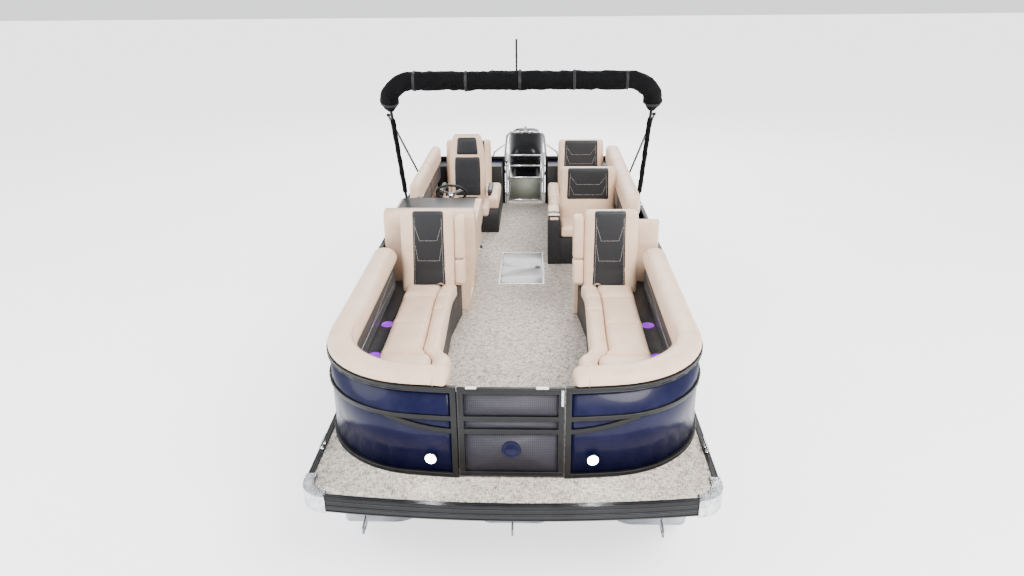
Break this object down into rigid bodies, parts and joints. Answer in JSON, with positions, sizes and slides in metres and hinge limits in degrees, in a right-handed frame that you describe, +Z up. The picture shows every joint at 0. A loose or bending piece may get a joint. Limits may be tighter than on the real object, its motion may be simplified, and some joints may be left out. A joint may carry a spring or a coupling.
{
  "type": "three-tube pontoon boat with outboard motor",
  "caption": "Pontoon boat on three tubes with a fenced lounge deck, side console, folded canopy, tow arch and tilted outboard motor.",
  "frame": {"origin": "on the flat keel strip under the middle tube, amidships, where the boat rests", "axes": "+X to port, +Y aft, +Z up"},
  "size_m": [2.634, 8.5141, 3.1697],
  "materials": {
    "tube_aluminium": "satin",
    "frame_aluminium": "satin",
    "woven_vinyl": "matte",
    "black_trim": "satin",
    "chrome_cast": "polished",
    "black_anodised": "satin",
    "navy_panel": "gloss",
    "lamp_lens": "gloss",
    "grey_mesh": "matte",
    "stainless": "polished",
    "moulded_charcoal": "matte",
    "tan_vinyl": "satin",
    "charcoal_vinyl": "satin",
    "tan_shell": "satin",
    "black_gloss": "gloss",
    "black_rubber": "matte",
    "white_shell": "gloss",
    "grey_shell": "gloss",
    "canvas": "matte",
    "motor_casting": "satin",
    "prop_steel": "polished"
  },
  "bodies": {
    "boat": {"port_tube": "tube_aluminium", "centre_tube": "tube_aluminium", "starboard_tube": "tube_aluminium", "underframe": "frame_aluminium", "deck": "woven_vinyl", "deck_trim": "black_trim", "corner_castings": "chrome_cast", "cleats": "chrome_cast", "port_bow_fence": "black_anodised", "starboard_bow_fence": "black_anodised", "port_aft_fence": "black_anodised", "starboard_aft_fence": "black_anodised", "bow_panels": "navy_panel", "aft_panels": "navy_panel", "docking_lights": "lamp_lens", "port_bow_base": "moulded_charcoal", "starboard_bow_base": "moulded_charcoal", "bow_cushions": "tan_vinyl", "bow_backrests": "tan_vinyl", "port_bow_bolster": "tan_vinyl", "starboard_bow_bolster": "tan_vinyl", "port_bow_liner": "charcoal_vinyl", "starboard_bow_liner": "charcoal_vinyl", "lounge_end": "tan_shell", "console": "tan_shell", "dash": "black_gloss", "throttle": "stainless", "helm_pedestal": "stainless", "port_aft_base": "moulded_charcoal", "starboard_aft_base": "moulded_charcoal", "aft_cushions": "tan_vinyl", "aft_backrests": "tan_vinyl", "aft_bolsters": "tan_vinyl", "hatch_frame": "white_shell", "bimini_mounts": "stainless", "stern_rails": "stainless", "motor_pod": "frame_aluminium"},
    "bow_gate": {"bow_gate_frame": "black_anodised", "bow_gate_mesh": "grey_mesh"},
    "side_gate": {"side_gate_frame": "black_anodised", "side_gate_panel": "navy_panel"},
    "stern_gate": {"stern_gate_frame": "stainless", "stern_gate_mesh": "grey_mesh"},
    "port_lid": {"port_seat_lid": "tan_vinyl"},
    "starboard_lid": {"starboard_seat_lid": "tan_vinyl"},
    "hatch": {"hatch_lid": "grey_shell"},
    "wheel": {"steering_wheel": "black_rubber"},
    "chair": {"helm_cushion": "tan_vinyl", "helm_backrest": "tan_vinyl"},
    "canopy": {"bimini_bow": "black_anodised", "bimini_boot": "canvas"},
    "canopy_braces": {"bimini_braces": "black_anodised"},
    "boarding_ladder": {"ladder": "stainless"},
    "swivel": {"swivel_bracket": "motor_casting"},
    "motor": {"motor_leg": "motor_casting", "cowl": "black_gloss"},
    "screw": {"propeller": "prop_steel"}
  },
  "joints": [
    {"name": "bow_gate_hinge", "type": "hinge", "parent": "boat", "child": "bow_gate", "pos_m": [-0.328, -3.488, 1.12], "axis": [0, 0, 1], "range_deg": [0, 95]},
    {"name": "side_gate_hinge", "type": "hinge", "parent": "boat", "child": "side_gate", "pos_m": [1.22, -0.897, 1.12], "axis": [0, 0, 1], "range_deg": [0, 92]},
    {"name": "stern_gate_hinge", "type": "hinge", "parent": "boat", "child": "stern_gate", "pos_m": [-0.245, 2.6225, 1.12], "axis": [0, 0, 1], "range_deg": [-95, 0]},
    {"name": "port_lid_hinge", "type": "hinge", "parent": "boat", "child": "port_lid", "pos_m": [0.975, -2.073, 1.132], "axis": [0, 1, 0], "range_deg": [0, 60]},
    {"name": "starboard_lid_hinge", "type": "hinge", "parent": "boat", "child": "starboard_lid", "pos_m": [-0.975, -2.073, 1.132], "axis": [0, -1, 0], "range_deg": [0, 60]},
    {"name": "hatch_hinge", "type": "hinge", "parent": "boat", "child": "hatch", "pos_m": [-0.211, 0.165, 0.808], "axis": [0, -1, 0], "range_deg": [0, 95]},
    {"name": "wheel_turn", "type": "hinge", "parent": "boat", "child": "wheel", "pos_m": [-0.73, 0.23, 1.6], "axis": [0, 0.7071, 0.7071], "range_deg": [-600, 600]},
    {"name": "chair_swivel", "type": "hinge", "parent": "boat", "child": "chair", "pos_m": [-0.62, 0.78, 1.14], "axis": [0, 0, 1], "continuous": true},
    {"name": "canopy_fold", "type": "hinge", "parent": "boat", "child": "canopy", "pos_m": [0, 0.335, 1.47], "axis": [1, 0, 0], "range_deg": [-100, 0]},
    {"name": "brace_fold", "type": "hinge", "parent": "boat", "child": "canopy_braces", "pos_m": [0, 1.52, 1.47], "axis": [1, 0, 0], "range_deg": [0, 26]},
    {"name": "ladder_hinge", "type": "hinge", "parent": "boat", "child": "boarding_ladder", "pos_m": [-1, 3.576, 0.834], "axis": [1, 0, 0], "range_deg": [-255, 0]},
    {"name": "motor_tilt", "type": "hinge", "parent": "boat", "child": "swivel", "pos_m": [0, 3.63, 0.76], "axis": [1, 0, 0], "range_deg": [-36, 34]},
    {"name": "motor_steer", "type": "hinge", "parent": "swivel", "child": "motor", "pos_m": [0, 3.73517, 0.83641], "axis": [0, -0.5878, 0.809], "range_deg": [-30, 30]},
    {"name": "screw_turn", "type": "hinge", "parent": "motor", "child": "screw", "pos_m": [0, 4.59272, 0.36554], "axis": [0, 0.809, 0.5878], "continuous": true}
  ],
  "couplings": [
    {"joint": "wheel_turn", "follows": "motor_steer", "ratio": -20},
    {"joint": "brace_fold", "follows": "canopy_fold", "ratio": -0.26}
  ]
}
